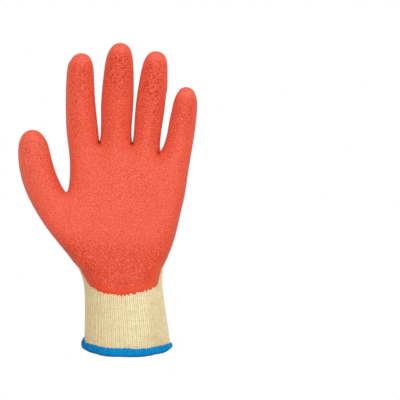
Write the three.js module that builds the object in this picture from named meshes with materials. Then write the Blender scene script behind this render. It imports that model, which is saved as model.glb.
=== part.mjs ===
// A latex coated knitted work glove for the left hand, lying on its back with the palm up.
// A seamless knitted liner is dipped in latex over the fingers, thumb, palm and knuckles,
// and its cuff is edged with a coloured overlock hem. Millimetres, +Z up, +Y to the fingertips.

import * as THREE from "three";

// Walls: each layer is measured inwards from the outside of the latex
const LATEX_WALL = 0.8;
const LATEX_GAP = 0.3;
const KNIT_WALL = 1.3;
const KNIT_FACE = LATEX_WALL + LATEX_GAP;
const KNIT_INSIDE = KNIT_FACE + KNIT_WALL;

// A closed control ring of eight points shrinks to this share of its size when it is smoothed
const RING_SHRINK = (2 + Math.cos(Math.PI / 4)) / 3;

// Each digit from its root to its tip: the centre, half width and half depth of each section
const INDEX = [
  { x: -20.6, y: 56, z: 9.6, wide: 12.9, deep: 10.6 },
  { x: -22.0, y: 74, z: 8.7, wide: 12.1, deep: 10.0 },
  { x: -22.4, y: 92, z: 9.2, wide: 11.4, deep: 9.4 },
  { x: -21.8, y: 108, z: 11.6, wide: 10.7, deep: 8.6 },
  { x: -20.6, y: 118, z: 13.8, wide: 7.6, deep: 6.4 },
];
const MIDDLE = [
  { x: 6.8, y: 57, z: 10.0, wide: 12.2, deep: 11.0 },
  { x: 7.4, y: 76, z: 9.6, wide: 13.3, deep: 10.6 },
  { x: 8.4, y: 95, z: 9.8, wide: 12.5, deep: 9.8 },
  { x: 9.6, y: 113.5, z: 12.4, wide: 11.2, deep: 8.8 },
  { x: 10.6, y: 126.3, z: 14.8, wide: 7.4, deep: 6.4 },
];
const RING = [
  { x: 31.8, y: 54, z: 9.3, wide: 11.2, deep: 10.4 },
  { x: 33.6, y: 72, z: 8.6, wide: 12.0, deep: 9.9 },
  { x: 35.8, y: 90, z: 9.1, wide: 11.5, deep: 9.3 },
  { x: 38.2, y: 108, z: 11.8, wide: 10.5, deep: 8.4 },
  { x: 39.4, y: 119.6, z: 14.0, wide: 7.2, deep: 6.2 },
];
const LITTLE = [
  { x: 57.5, y: 48, z: 8.7, wide: 11.2, deep: 9.6 },
  { x: 59.5, y: 59, z: 7.9, wide: 11.0, deep: 9.0 },
  { x: 61.3, y: 70, z: 8.6, wide: 10.3, deep: 8.5 },
  { x: 62.8, y: 81.5, z: 10.6, wide: 9.4, deep: 7.8 },
  { x: 63.2, y: 91, z: 12.2, wide: 6.6, deep: 5.6 },
];
const THUMB = [
  { x: -48.4, y: 4, z: 19.0, wide: 14.0, deep: 12.6 },
  { x: -54.2, y: 18, z: 21.5, wide: 13.8, deep: 11.8 },
  { x: -57.0, y: 31, z: 24.0, wide: 13.3, deep: 11.2 },
  { x: -58.2, y: 44.5, z: 26.5, wide: 12.0, deep: 10.2 },
  { x: -58.4, y: 56.0, z: 28.6, wide: 7.8, deep: 7.0 },
];

// The crotches between the fingers: where the web lies and its half thickness
const WEBS = [
  { x: -6.6, y: 45.3, z: 9.8, half: 8.0 },
  { x: 19.8, y: 43.8, z: 9.8, half: 8.0 },
  { x: 42.2, y: 37.4, z: 9.4, half: 7.6 },
];
const WEB_SLOPE = 0.5; // its palm and back points lie towards the wrist by this share of that

// The hand and cuff from the finger roots to the cuff's end: both edges, how far in from them the
// palm and back begin, and the palm's height over the thumb side, middle and little finger side
const HAND = [
  { y: 42, left: -31.6, right: 68.2, inset: 2.5, thumbSide: 23.5, middle: 24.5, littleSide: 22.5 },
  { y: 25, left: -29.8, right: 65.2, inset: 3.0, thumbSide: 27.0, middle: 25.5, littleSide: 25.5 },
  { y: 5, left: -31.0, right: 62.4, inset: 3.0, thumbSide: 31.0, middle: 26.5, littleSide: 28.5 },
  { y: -8, left: -40.0, right: 59.4, inset: 3.5, thumbSide: 35.0, middle: 28.5, littleSide: 31.0 },
  { y: -22, left: -49.6, right: 56.6, inset: 4.0, thumbSide: 37.0, middle: 31.5, littleSide: 33.0 },
  { y: -39, left: -35.4, right: 52.0, inset: 4.0, thumbSide: 37.5, middle: 35.0, littleSide: 35.0 },
  { y: -58, left: -19.6, right: 42.8, inset: 4.0, thumbSide: 37.5, middle: 38.0, littleSide: 37.0 },
  { y: -84, left: -19.0, right: 47.2, inset: 4.0, thumbSide: 37.5, middle: 39.0, littleSide: 37.5 },
  { y: -116, left: -19.8, right: 51.6, inset: 4.0, thumbSide: 37.5, middle: 39.0, littleSide: 37.5 },
];
const EDGE_TURN = 0.15; // share of the height by which the palm and back turn in at their edges
const EDGE_POWER = 6; // how close to the edges they begin to turn
const EDGE_REACH = 1 / 3; // an edge point stands out by this share of the inset, to be smoothed back
const CUFF_DIP = 5.2; // the hem hangs lower in the middle of the palm and the back
const DIP_POWER = 3; // in a curve that is flat there and steep at the edges
const CUFF_TILT = 0.6; // and is higher on the thumb side

const TOP_POINTS = 9; // across the palm, and as many across the back
const RING_POINTS = 2 * TOP_POINTS + 2;
const DIGIT_POINTS = 8;
const THUMB_ROW = 2; // the thumb leaves the hand between this section and the second after it

// A point is a plain array of three numbers while the surface is built
function mix(a, b, t) {
  return a.map((v, i) => v + (b[i] - v) * t);
}

function average(list) {
  return list[0].map((_, i) => list.reduce((sum, p) => sum + p[i], 0) / list.length);
}

// The points round one section of a digit, clockwise from the palm's thumb side
function digitRing(rows, k) {
  const at = ({ x, y, z }) => new THREE.Vector3(x, y, z);
  const here = at(rows[k]);
  const before = at(rows[Math.max(k - 1, 0)]);
  const after = at(rows[Math.min(k + 1, rows.length - 1)]);
  const along = after.sub(before).normalize();
  const up = new THREE.Vector3(0, 0, 1).addScaledVector(along, -along.z).normalize();
  const side = new THREE.Vector3().crossVectors(along, up);
  const points = [];
  for (let j = 0; j < DIGIT_POINTS; j++) {
    const angle = (3 - j) * 2 * Math.PI / DIGIT_POINTS;
    const p = here.clone();
    p.addScaledVector(side, rows[k].wide / RING_SHRINK * Math.cos(angle));
    p.addScaledVector(up, rows[k].deep / RING_SHRINK * Math.sin(angle));
    points.push(p.toArray());
  }
  return points;
}

// The points round one section of the hand: palm, little finger side, back, thumb side
function handRing(row, last) {
  const palm = [];
  const back = [];
  const left = row.left + row.inset;
  const right = row.right - row.inset;
  for (let j = 0; j < TOP_POINTS; j++) {
    const t = j / (TOP_POINTS - 1);
    const across = 2 * t - 1;
    const side = across < 0 ? row.thumbSide : row.littleSide;
    const height = row.middle + (side - row.middle) * across * across;
    const turn = EDGE_TURN * height * Math.abs(across) ** EDGE_POWER;
    const x = left + (right - left) * t;
    const dip = last ? CUFF_DIP * (1 - Math.abs(across) ** DIP_POWER) + CUFF_TILT * across / 2 : 0;
    palm.push([x, row.y - dip, height - turn]);
    back.push([x, row.y - dip, turn]);
  }
  const reach = row.inset * EDGE_REACH;
  const tilt = last ? CUFF_TILT / 2 : 0;
  const middle = (row.thumbSide + row.littleSide) / 4;
  const littleEdge = [row.right + reach, row.y - tilt, middle];
  const thumbEdge = [row.left - reach, row.y + tilt, middle];
  return [...palm, littleEdge, ...back.reverse(), thumbEdge];
}

// The control cage: hand rings, webs between the fingers, and the five digits
function buildCage() {
  const points = [];
  const faces = [];
  const add = (p) => points.push(p) - 1;
  const rings = HAND.map((row, r) => handRing(row, r === HAND.length - 1).map(add));
  const littleEdge = TOP_POINTS;
  const thumbEdge = RING_POINTS - 1;
  const backOf = (j) => RING_POINTS - 2 - j;

  WEBS.forEach(({ x, y, z, half }, i) => {
    const j = 2 * (i + 1);
    points[rings[0][j]] = [x, y - half * WEB_SLOPE, z + half];
    points[rings[0][backOf(j)]] = [x, y - half * WEB_SLOPE, z - half];
  });
  const webs = WEBS.map((web) => add([web.x, web.y, web.z]));

  for (let r = 0; r + 1 < rings.length; r++) {
    const opens = r === THUMB_ROW || r === THUMB_ROW + 1;
    for (let j = 0; j < RING_POINTS; j++) {
      if (opens && (j === thumbEdge || j === thumbEdge - 1)) continue;
      const next = (j + 1) % RING_POINTS;
      faces.push([rings[r][j], rings[r + 1][j], rings[r + 1][next], rings[r][next]]);
    }
  }

  const grow = (root, rows) => {
    let from = root;
    rows.forEach((_, k) => {
      const to = digitRing(rows, k).map(add);
      from.forEach((v, j) => {
        const next = (j + 1) % DIGIT_POINTS;
        faces.push([v, from[next], to[next], to[j]]);
      });
      from = to;
    });
    faces.push(from);
  };
  const top = rings[0];
  [INDEX, MIDDLE, RING, LITTLE].forEach((rows, i) => {
    const j = 2 * i;
    const palm = [top[j], top[j + 1], top[j + 2]];
    const back = [top[backOf(j + 2)], top[backOf(j + 1)], top[backOf(j)]];
    const right = webs[i] ?? top[littleEdge];
    const left = webs[i - 1] ?? top[thumbEdge];
    grow([...palm, right, ...back, left], rows);
  });
  const [near, centre, far] = rings.slice(THUMB_ROW, THUMB_ROW + 3);
  const b = backOf(0);
  grow([far[0], centre[0], near[0], near[thumbEdge], near[b], centre[b], far[b], far[thumbEdge]], THUMB);
  return withoutStrays({ points, faces });
}

// Drops the points that no face uses, such as the one inside the thumb's root
function withoutStrays({ points, faces }) {
  const used = [...new Set(faces.flat())];
  const place = new Map(used.map((v, i) => [v, i]));
  const renumbered = faces.map((face) => face.map((v) => place.get(v)));
  return { points: used.map((v) => points[v]), faces: renumbered };
}

// One step of Catmull-Clark smoothing; the cuff's open end follows the curve of its own edge
function subdivide({ points, faces }) {
  const facePoints = faces.map((face) => average(face.map((v) => points[v])));
  const edges = edgesOf(faces);
  const around = points.map(() => ({ faces: [], middles: [], rim: [] }));
  faces.forEach((face, f) => face.forEach((v) => around[v].faces.push(facePoints[f])));
  for (const { ends: [a, b], faces: beside } of edges.values()) {
    const middle = mix(points[a], points[b], 0.5);
    for (const [v, other] of [[a, b], [b, a]]) {
      around[v].middles.push(middle);
      if (beside.length === 1) around[v].rim.push(points[other]);
    }
  }

  const moved = points.map((p, v) => {
    const { faces: near, middles, rim } = around[v];
    if (rim.length) return mix(p, average(rim), 0.25);
    const n = near.length;
    const face = average(near);
    const middle = average(middles);
    return p.map((c, i) => (face[i] + 2 * middle[i] + (n - 3) * c) / n);
  });
  const made = [...moved, ...facePoints];
  for (const edge of edges.values()) {
    const [a, b] = edge.ends;
    const middle = mix(points[a], points[b], 0.5);
    const [left, right] = edge.faces.map((f) => facePoints[f]);
    edge.point = made.length;
    made.push(right ? mix(middle, mix(left, right, 0.5), 0.5) : middle);
  }

  const between = (a, b) => edges.get(edgeKey(a, b)).point;
  const quads = faces.flatMap((face, f) => face.map((v, i) => {
    const after = face[(i + 1) % face.length];
    const before = face[(i + face.length - 1) % face.length];
    return [v, between(v, after), points.length + f, between(before, v)];
  }));
  return { points: made, faces: quads };
}

function edgeKey(a, b) {
  return a < b ? `${a}_${b}` : `${b}_${a}`;
}

function edgesOf(faces) {
  const edges = new Map();
  faces.forEach((face, f) => face.forEach((a, i) => {
    const b = face[(i + 1) % face.length];
    const key = edgeKey(a, b);
    if (!edges.has(key)) edges.set(key, { ends: [a, b], faces: [] });
    edges.get(key).faces.push(f);
  }));
  return edges;
}

// Moves each point of a mesh of quads to where endless smoothing would bring it
function toLimit({ points, faces }) {
  const sums = points.map(() => ({ n: 0, near: [0, 0, 0], far: [0, 0, 0], rim: [] }));
  const addTo = (sum, p) => p.forEach((c, i) => { sum[i] += c; });
  faces.forEach((face) => face.forEach((v, i) => {
    sums[v].n += 1;
    addTo(sums[v].far, points[face[(i + 2) % 4]]);
  }));
  for (const { ends: [a, b], faces: beside } of edgesOf(faces).values()) {
    for (const [v, other] of [[a, b], [b, a]]) {
      addTo(sums[v].near, points[other]);
      if (beside.length === 1) sums[v].rim.push(points[other]);
    }
  }
  const limits = points.map((p, v) => {
    const { n, near, far, rim } = sums[v];
    if (rim.length) return mix(p, average(rim), 1 / 3);
    return p.map((c, i) => (n * n * c + 4 * near[i] + far[i]) / (n * (n + 5)));
  });
  return { points: limits, faces };
}

// The outward direction at each point of a mesh
function normalsOf({ points, faces }) {
  const normals = points.map(() => new THREE.Vector3());
  const at = (v) => new THREE.Vector3(...points[v]);
  for (const face of faces) {
    const across = at(face[2]).sub(at(face[0]));
    const other = at(face[3]).sub(at(face[1]));
    const normal = across.cross(other);
    face.forEach((v) => normals[v].add(normal));
  }
  return normals.map((n) => n.normalize().toArray());
}

// The latex edge on the palm: a rounded bib across the wrist
const BIB = { x: 10.6, y: -57, half: 32, drop: 19.5 };

// The bare window on the back, from the thumb side over the knuckles to the little finger side
const WINDOW = [
  { x: -90, y: -50 },
  { x: -46, y: -42 },
  { x: -30, y: -35 },
  { x: -34.5, y: -24 },
  { x: -37.2, y: -13 },
  { x: -32.6, y: -7 },
  { x: -27.2, y: 3 },
  { x: -22.8, y: 16.4 },
  { x: -18.5, y: 25 },
  { x: -11, y: 31.4 },
  { x: 5, y: 35.2 },
  { x: 23.3, y: 32.5 },
  { x: 35, y: 27.2 },
  { x: 43.6, y: 20.8 },
  { x: 49, y: 12.2 },
  { x: 52.2, y: -5 },
  { x: 52.6, y: -20 },
  { x: 51, y: -31 },
  { x: 60, y: -38 },
  { x: 90, y: -42 },
  { x: 90, y: -160 },
  { x: -90, y: -160 },
];

const SIDE_TURN = 0.5; // the palm's edge runs into the window's edge where the normal's z is under this

// How far a point lies inside the latex, negative where the knit is bare
function latexDepth([x, y], normal) {
  const across = Math.min(1, Math.abs(x - BIB.x) / BIB.half);
  const palm = y - (BIB.y - BIB.drop * Math.sqrt(1 - across * across));
  const back = outsideOf(WINDOW, x, y);
  return THREE.MathUtils.lerp(palm, back, THREE.MathUtils.smoothstep(-normal[2], -SIDE_TURN, SIDE_TURN));
}

// The distance from a point to an outline, negative inside it
function outsideOf(outline, x, y) {
  let inside = false;
  let nearest = Infinity;
  outline.forEach((a, i) => {
    const b = outline[(i + 1) % outline.length];
    const dx = b.x - a.x;
    const dy = b.y - a.y;
    const share = ((x - a.x) * dx + (y - a.y) * dy) / (dx * dx + dy * dy);
    const t = THREE.MathUtils.clamp(share, 0, 1);
    nearest = Math.min(nearest, Math.hypot(a.x + dx * t - x, a.y + dy * t - y));
    if ((a.y > y) !== (b.y > y) && x < a.x + dx * (y - a.y) / dy) inside = !inside;
  });
  return inside ? -nearest : nearest;
}

// Slides points that nearly touch the latex edge onto it, so that no sliver is cut there
const SNAP = 0.3;
function snapToEdge(surface, field) {
  const moves = new Map();
  for (const { ends } of edgesOf(surface.faces).values()) {
    for (const [a, b] of [ends, [...ends].reverse()]) {
      const t = field[a] / (field[a] - field[b]);
      const taken = moves.has(a) && moves.get(a).t <= t;
      if (field[a] * field[b] >= 0 || t > SNAP || taken) continue;
      moves.set(a, { t, to: mix(surface.points[a], surface.points[b], t) });
    }
  }
  for (const [v, { to }] of moves) {
    surface.points[v] = to;
    field[v] = 0;
  }
}

// The part of a surface where the field isn't negative. Its corners are shares between two points.
function clip(faces, field) {
  const corners = [];
  const known = new Map();
  const corner = (a, b, t) => {
    const key = edgeKey(a, b);
    if (!known.has(key)) known.set(key, corners.push({ a, b, t }) - 1);
    return known.get(key);
  };
  const kept = faces.map((face) => face.flatMap((a, i) => {
    const b = face[(i + 1) % face.length];
    const own = field[a] >= 0 ? [corner(a, a, 0)] : [];
    const crosses = field[a] * field[b] < 0;
    return crosses ? [...own, corner(a, b, field[a] / (field[a] - field[b]))] : own;
  }));
  return { corners, faces: kept.filter((face) => face.length > 2) };
}

// The surface moved inwards by a depth and pressed flat where it would reach below its support
function layer(surface, normals, depth) {
  return surface.points.map(([x, y, z], v) => {
    const [outX, outY, outZ] = normals[v];
    return [x - outX * depth, y - outY * depth, Math.max(z - outZ * depth, depth)];
  });
}

// A wall between two layers of the same faces, closed along every open edge
function wall(outer, inner, faces) {
  const n = outer.length;
  const turned = faces.map((face) => [face[0], ...face.slice(1).reverse()].map((v) => v + n));
  const rim = [];
  for (const { faces: beside, from, to } of directedEdges(faces).values()) {
    if (beside === 1) rim.push([to, from, from + n, to + n]);
  }
  return { points: [...outer, ...inner], faces: [...faces, ...turned, ...rim] };
}

function directedEdges(faces) {
  const edges = new Map();
  faces.forEach((face) => face.forEach((from, i) => {
    const to = face[(i + 1) % face.length];
    const key = edgeKey(from, to);
    if (edges.has(key)) edges.get(key).faces += 1;
    else edges.set(key, { from, to, faces: 1 });
  }));
  return edges;
}

function toGeometry({ points, faces }) {
  const used = new Map();
  const positions = [];
  const index = [];
  const vertex = (v) => {
    if (!used.has(v)) {
      used.set(v, used.size);
      positions.push(...points[v]);
    }
    return used.get(v);
  };
  for (const face of faces) {
    for (let i = 1; i + 1 < face.length; i++) {
      index.push(vertex(face[0]), vertex(face[i]), vertex(face[i + 1]));
    }
  }
  const geometry = new THREE.BufferGeometry();
  geometry.setAttribute("position", new THREE.Float32BufferAttribute(positions, 3));
  geometry.setIndex(index);
  geometry.computeVertexNormals();
  return geometry;
}

// The cuff's open end as one loop of points, in order
function rimLoop(faces) {
  const next = new Map();
  for (const { from, to, faces: beside } of directedEdges(faces).values()) {
    if (beside === 1) next.set(from, to);
  }
  const loop = [next.keys().next().value];
  while (next.get(loop.at(-1)) !== loop[0]) loop.push(next.get(loop.at(-1)));
  return loop;
}

// The overlock hem's section: how far each corner stands out from the knit's face and past its end
const HEM_GAP = 0.3;
const HEM = [
  { out: HEM_GAP, past: -5.6 },
  { out: 1.3, past: -5.4 },
  { out: 2.2, past: -2.6 },
  { out: 1.9, past: 0.4 },
  { out: 0.4, past: 1.9 },
  { out: -1.7, past: 1.9 },
  { out: -3.2, past: 0.4 },
  { out: -3.4, past: -2.6 },
  { out: -2.5, past: -5.4 },
  { out: -KNIT_WALL - HEM_GAP, past: -5.6 },
  { out: -KNIT_WALL - HEM_GAP, past: HEM_GAP },
  { out: HEM_GAP, past: HEM_GAP },
];

// A ring of the hem's section round the cuff's end
function buildHem(surface, normals, knitFace) {
  const loop = rimLoop(surface.faces);
  const points = [];
  const faces = [];
  const n = loop.length;
  const m = HEM.length;
  loop.forEach((v, i) => {
    const at = new THREE.Vector3(...knitFace[v]);
    const before = new THREE.Vector3(...knitFace[loop[(i + n - 1) % n]]);
    const after = new THREE.Vector3(...knitFace[loop[(i + 1) % n]]);
    const along = after.sub(before).normalize();
    const out = new THREE.Vector3(...normals[v]);
    const past = new THREE.Vector3().crossVectors(along, out).normalize();
    if (past.y > 0) past.negate();
    for (const corner of HEM) {
      const p = at.clone().addScaledVector(out, corner.out).addScaledVector(past, corner.past);
      points.push([p.x, p.y, Math.max(0, p.z)]);
    }
    const j = (i + 1) % n;
    for (let k = 0; k < m; k++) {
      const l = (k + 1) % m;
      faces.push([i * m + k, i * m + l, j * m + l, j * m + k]);
    }
  });
  return { points, faces };
}

const KNIT = { color: 0xead9a4, roughness: 0.95, metalness: 0 };
const LATEX = { color: 0xf0604a, roughness: 0.55, metalness: 0 };
const THREAD = { color: 0x0c8fd4, roughness: 0.9, metalness: 0 };

function piece(name, solid, material) {
  const mesh = new THREE.Mesh(toGeometry(solid), new THREE.MeshStandardMaterial(material));
  mesh.name = name;
  return mesh;
}

// The outside of the glove, with a line of points along the latex edge
const hand = toLimit(subdivide(buildCage()));
const outward = normalsOf(hand);
const field = hand.points.map((p, v) => latexDepth(p, outward[v]));
snapToEdge(hand, field);
const normals = normalsOf(hand);
const layerAt = (depth) => layer(hand, normals, depth);

const knitFace = layerAt(KNIT_FACE);
const liner = wall(knitFace, layerAt(KNIT_INSIDE), hand.faces);

const coat = clip(hand.faces, field);
const cut = (points) => coat.corners.map(({ a, b, t }) => mix(points[a], points[b], t));
const coating = wall(cut(layerAt(0)), cut(layerAt(LATEX_WALL)), coat.faces);

const glove = new THREE.Group();
glove.add(piece("knit_liner", liner, KNIT));
glove.add(piece("latex_coating", coating, LATEX));
glove.add(piece("overlock_hem", buildHem(hand, normals, knitFace), THREAD));

// The origin lies under the middle of the glove, on the surface that it rests on
const box = new THREE.Box3().setFromObject(glove);
const middle = box.getCenter(new THREE.Vector3());
glove.position.set(-middle.x, -middle.y, -box.min.z);
export default glove;
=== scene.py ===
# A latex coated knitted work glove for the left hand, lying on its back with the palm up.
# Yarn, latex and thread are built over one smooth hand surface. Sizes in tables are millimetres.

import math
from collections import namedtuple

import bpy
import numpy as np
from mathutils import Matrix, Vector, kdtree, noise


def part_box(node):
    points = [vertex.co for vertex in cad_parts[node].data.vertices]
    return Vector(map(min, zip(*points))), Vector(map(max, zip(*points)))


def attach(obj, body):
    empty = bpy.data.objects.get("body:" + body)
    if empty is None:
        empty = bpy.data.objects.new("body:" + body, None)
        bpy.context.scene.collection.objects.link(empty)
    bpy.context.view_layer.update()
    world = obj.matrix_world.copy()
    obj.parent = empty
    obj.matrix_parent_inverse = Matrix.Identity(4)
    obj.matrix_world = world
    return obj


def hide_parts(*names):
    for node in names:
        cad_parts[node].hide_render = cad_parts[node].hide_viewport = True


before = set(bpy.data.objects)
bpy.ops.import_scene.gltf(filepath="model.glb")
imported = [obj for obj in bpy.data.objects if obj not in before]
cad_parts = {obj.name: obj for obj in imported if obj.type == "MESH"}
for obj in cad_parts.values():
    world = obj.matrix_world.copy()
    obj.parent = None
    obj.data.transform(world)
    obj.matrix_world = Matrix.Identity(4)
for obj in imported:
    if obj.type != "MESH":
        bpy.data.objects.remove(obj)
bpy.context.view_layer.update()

MM = 0.001

# The photograph: 400 pixels wide, taken from straight above
PHOTO_WIDE = 320.0  # mm across the photograph at the height of the fingers
PHOTO_HEIGHT = 14.0
CAMERA_HEIGHT = 1100.0
PHOTO_CENTRE = (74.0, 0.0)
SENSOR = 36.0

# The hand's surface, as the outside of the latex
Section = namedtuple("Section", "x y z wide deep")
Web = namedtuple("Web", "x y z half")
Row = namedtuple("Row", "y left right inset thumb_side middle little_side")

INDEX = [
    Section(-20.6, 56, 9.6, 12.9, 10.6),
    Section(-22.0, 74, 8.7, 12.1, 10.0),
    Section(-22.4, 92, 9.2, 11.4, 9.4),
    Section(-21.8, 108, 11.6, 10.7, 8.6),
    Section(-20.6, 118, 13.8, 7.6, 6.4),
]
MIDDLE = [
    Section(6.7, 57, 10.0, 11.9, 11.0),
    Section(7.4, 76, 9.6, 13.3, 10.6),
    Section(8.4, 95, 9.8, 12.5, 9.8),
    Section(9.6, 113.5, 12.4, 11.2, 8.8),
    Section(10.6, 126.3, 14.8, 7.4, 6.4),
]
RING = [
    Section(31.7, 54, 9.3, 10.7, 10.4),
    Section(33.6, 72, 8.6, 12.0, 9.9),
    Section(35.8, 90, 9.1, 11.5, 9.3),
    Section(38.2, 108, 11.8, 10.5, 8.4),
    Section(39.4, 119.6, 14.0, 7.2, 6.2),
]
LITTLE = [
    Section(57.9, 48, 8.7, 10.8, 9.6),
    Section(59.5, 59, 7.9, 11.0, 9.0),
    Section(61.3, 70, 8.6, 10.3, 8.5),
    Section(62.8, 81.5, 10.6, 9.4, 7.8),
    Section(63.2, 91, 12.2, 6.6, 5.6),
]
THUMB = [
    Section(-48.4, 4, 19.0, 14.0, 12.6),
    Section(-54.2, 18, 21.5, 13.8, 11.8),
    Section(-57.0, 31, 24.0, 13.3, 11.2),
    Section(-58.2, 44.5, 26.5, 12.0, 10.2),
    Section(-58.4, 56.0, 28.6, 7.8, 7.0),
]
WEBS = [
    Web(-6.6, 44.1, 9.8, 8.0),
    Web(19.6, 43.3, 9.8, 8.0),
    Web(41.1, 35.7, 9.4, 7.6),
]
WEB_SLOPE = 0.5  # how far a web's outer points lie back from its middle, as a share of its half
HAND = [
    Row(42, -31.6, 68.2, 2.5, 23.5, 24.5, 22.5),
    Row(25, -29.8, 65.2, 3.0, 27.0, 25.5, 25.5),
    Row(3, -31.7, 62.4, 3.0, 31.0, 26.5, 28.5),
    Row(-8, -40.0, 59.4, 3.5, 35.0, 28.5, 31.0),
    Row(-22, -49.6, 56.6, 4.0, 37.0, 31.5, 33.0),
    Row(-39, -35.4, 52.0, 4.0, 37.5, 35.0, 35.0),
    Row(-58, -19.6, 42.8, 4.0, 37.5, 38.0, 37.0),
    Row(-84, -19.0, 47.2, 4.0, 37.5, 39.0, 37.5),
    Row(-116, -19.8, 51.6, 4.0, 37.5, 39.0, 37.5),
]
# The hand's long edges: how far they turn round, how sharply, and how far their points stand out
EDGE_TURN = 0.15
EDGE_POWER = 6
EDGE_REACH = 1 / 3
# The cuff's end: how far its middle reaches, how flat that is, and how far one side outreaches the other
CUFF_DIP = 5.2
DIP_POWER = 3
CUFF_TILT = 0.6

# The control points of a ring round the hand or a digit
TOP_POINTS = 9
RING_POINTS = 2 * TOP_POINTS + 2
LITTLE_EDGE = TOP_POINTS
THUMB_EDGE = RING_POINTS - 1
DIGIT_POINTS = 8
THUMB_ROW = 2
RING_SHRINK = (2 + math.cos(math.pi / 4)) / 3  # the share that smoothing shrinks a digit's ring to


def digit_ring(rows, k):
    """The control points round one section of a digit, clockwise from the palm's thumb side."""
    before = Vector(rows[max(k - 1, 0)][:3])
    after = Vector(rows[min(k + 1, len(rows) - 1)][:3])
    along = (after - before).normalized()
    up = (Vector((0, 0, 1)) - along * along.z).normalized()
    side = along.cross(up)
    row = rows[k]
    points = []
    for j in range(DIGIT_POINTS):
        angle = (3 - j) * 2 * math.pi / DIGIT_POINTS
        out = side * (row.wide * math.cos(angle)) + up * (row.deep * math.sin(angle))
        points.append(Vector(row[:3]) + out / RING_SHRINK)
    return points


def hand_ring(row, last):
    """The control points round one section of the hand: palm, little finger side, back, thumb side."""
    palm = []
    back = []
    left = row.left + row.inset
    right = row.right - row.inset
    for j in range(TOP_POINTS):
        t = j / (TOP_POINTS - 1)
        across = 2 * t - 1
        side = row.thumb_side if across < 0 else row.little_side
        height = row.middle + (side - row.middle) * across**2
        turn = EDGE_TURN * height * abs(across) ** EDGE_POWER
        x = left + (right - left) * t
        dip = CUFF_DIP * (1 - abs(across) ** DIP_POWER) + CUFF_TILT * across / 2 if last else 0
        palm.append((x, row.y - dip, height - turn))
        back.append((x, row.y - dip, turn))
    reach = row.inset * EDGE_REACH
    tilt = CUFF_TILT / 2 if last else 0
    middle = (row.thumb_side + row.little_side) / 4
    little_edge = (row.right + reach, row.y - tilt, middle)
    thumb_edge = (row.left - reach, row.y + tilt, middle)
    return [*palm, little_edge, *reversed(back), thumb_edge]


def back_of(j):
    """The point on a hand ring's back that lies behind point j of its palm."""
    return RING_POINTS - 2 - j


def build_cage():
    """The control points and faces of the hand, and each face corner's place on the knit's grid."""
    points = []
    faces = []
    grid = []

    def add(p):
        points.append(tuple(p))
        return len(points) - 1

    rings = [[add(p) for p in hand_ring(row, row is HAND[-1])] for row in HAND]
    for i, web in enumerate(WEBS):
        j = 2 * (i + 1)
        y = web.y - web.half * WEB_SLOPE
        points[rings[0][j]] = (web.x, y, web.z + web.half)
        points[rings[0][back_of(j)]] = (web.x, y, web.z - web.half)
    webs = [add(web[:3]) for web in WEBS]

    for r in range(len(rings) - 1):
        opens = r in (THUMB_ROW, THUMB_ROW + 1)
        for j in range(RING_POINTS):
            if opens and j in (THUMB_EDGE, THUMB_EDGE - 1):
                continue
            after = (j + 1) % RING_POINTS
            faces.append((rings[r][j], rings[r + 1][j], rings[r + 1][after], rings[r][after]))
            grid.append(((j, r), (j, r + 1), (j + 1, r + 1), (j + 1, r)))

    def grow(root, rows):
        start = root
        for k in range(len(rows)):
            end = [add(p) for p in digit_ring(rows, k)]
            for j in range(DIGIT_POINTS):
                after = (j + 1) % DIGIT_POINTS
                faces.append((start[j], start[after], end[after], end[j]))
                grid.append(((-1, -1),) * 4)
            start = end
        faces.append(tuple(start))
        grid.append(((-1, -1),) * DIGIT_POINTS)

    top = rings[0]
    for i, rows in enumerate((INDEX, MIDDLE, RING, LITTLE)):
        j = 2 * i
        palm = top[j : j + 3]
        back = [top[back_of(j + 2)], top[back_of(j + 1)], top[back_of(j)]]
        right = webs[i] if i < len(webs) else top[LITTLE_EDGE]
        left = webs[i - 1] if i > 0 else top[THUMB_EDGE]
        grow([*palm, right, *back, left], rows)
    near, centre, far = rings[THUMB_ROW : THUMB_ROW + 3]
    b = back_of(0)
    palm = [far[0], centre[0], near[0]]
    back = [near[b], centre[b], far[b]]
    grow([*palm, near[THUMB_EDGE], *back, far[THUMB_EDGE]], THUMB)
    return points, faces, grid


Surface = namedtuple("Surface", "points normals quads grid")
CAGE = build_cage()
NO_GRID = -0.5  # a corner's grid place is under this where a face is on a digit


def smooth_hand(levels):
    """The hand as a mesh of quads at its smooth limit, with each quad corner's place on the knit's grid."""
    points, faces, grid = CAGE
    mesh = bpy.data.meshes.new("cage")
    mesh.from_pydata(points, [], faces)
    places = mesh.uv_layers.new(name="grid")
    places.data.foreach_set("uv", np.array([p for face in grid for p in face], float).ravel())
    cage = bpy.data.objects.new("cage", mesh)
    bpy.context.scene.collection.objects.link(cage)
    modifier = cage.modifiers.new("smooth", "SUBSURF")
    modifier.levels = levels
    modifier.uv_smooth = "NONE"
    smoothed = cage.evaluated_get(bpy.context.evaluated_depsgraph_get()).to_mesh()
    n = len(smoothed.vertices)
    m = len(smoothed.polygons)
    position = np.empty(n * 3)
    smoothed.vertices.foreach_get("co", position)
    corners = np.empty(m * 4, int)
    smoothed.loops.foreach_get("vertex_index", corners)
    place = np.empty(m * 8)
    smoothed.uv_layers["grid"].data.foreach_get("uv", place)
    bpy.data.objects.remove(cage)
    bpy.data.meshes.remove(mesh)
    position = position.reshape(-1, 3)
    quads = corners.reshape(-1, 4)
    used = np.unique(quads)
    number = np.full(n, -1)
    number[used] = np.arange(len(used))
    position = position[used]
    quads = number[quads]
    return Surface(position, normals_of(position, quads), quads, place.reshape(-1, 4, 2))


def normals_of(points, quads):
    """The outward direction at each point of a mesh of quads."""
    across = points[quads[:, 2]] - points[quads[:, 0]]
    other = points[quads[:, 3]] - points[quads[:, 1]]
    face = np.cross(across, other)
    normals = np.zeros_like(points)
    for corner in range(4):
        np.add.at(normals, quads[:, corner], face)
    return normals / np.linalg.norm(normals, axis=1)[:, None]


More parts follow.
